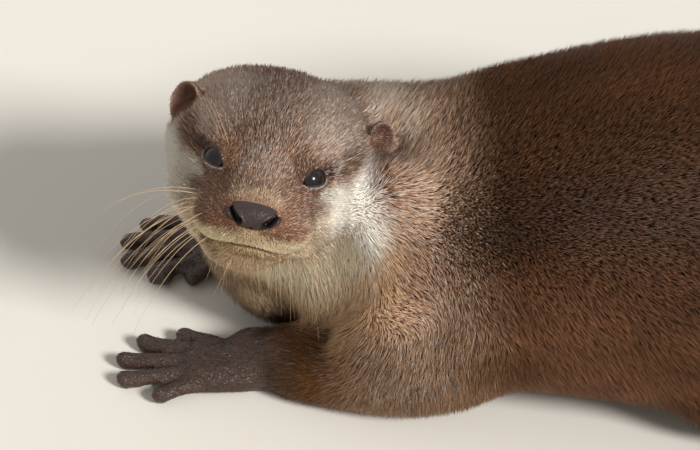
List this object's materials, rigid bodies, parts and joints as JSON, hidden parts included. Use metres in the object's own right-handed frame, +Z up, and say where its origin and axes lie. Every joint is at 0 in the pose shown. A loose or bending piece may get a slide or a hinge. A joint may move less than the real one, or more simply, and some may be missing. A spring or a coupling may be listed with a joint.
{
  "type": "small-clawed otter",
  "caption": "Life-size small-clawed otter lying crouched on its forearms and belly, head turned and raised to its left, tail curved along the floor.",
  "frame": {"origin": "on the floor, below the middle of the whole otter's bounding box", "axes": "+Z up, -X the way the trunk points, -Y the otter's left, where the head looks"},
  "size_m": [0.5918, 0.214, 0.1369],
  "materials": {
    "body_coat": "dense short dark-brown fur with lighter tips and a soft sheen",
    "face_coat": "very short brown fur, pale cream on the cheeks and lips",
    "throat_coat": "dense short light-brown fur with pale tips",
    "foot_skin": "dark skin with very short sparse fur, slightly glossy",
    "nose_skin": "dark pebbled moist skin",
    "eye": "glossy, very dark brown"
  },
  "bodies": {
    "root": {"head": "face_coat", "neck": "throat_coat", "trunk": "body_coat", "tail_root": "body_coat", "tail_middle": "body_coat", "tail_tip": "body_coat", "left_foreleg": "body_coat", "right_foreleg": "body_coat", "left_hind_leg": "body_coat", "right_hind_leg": "body_coat", "left_ear": "body_coat", "right_ear": "body_coat", "left_forefoot": "foot_skin", "right_forefoot": "foot_skin", "left_hind_foot": "foot_skin", "right_hind_foot": "foot_skin", "nose": "nose_skin", "left_eye": "eye", "right_eye": "eye"}
  },
  "joints": []
}
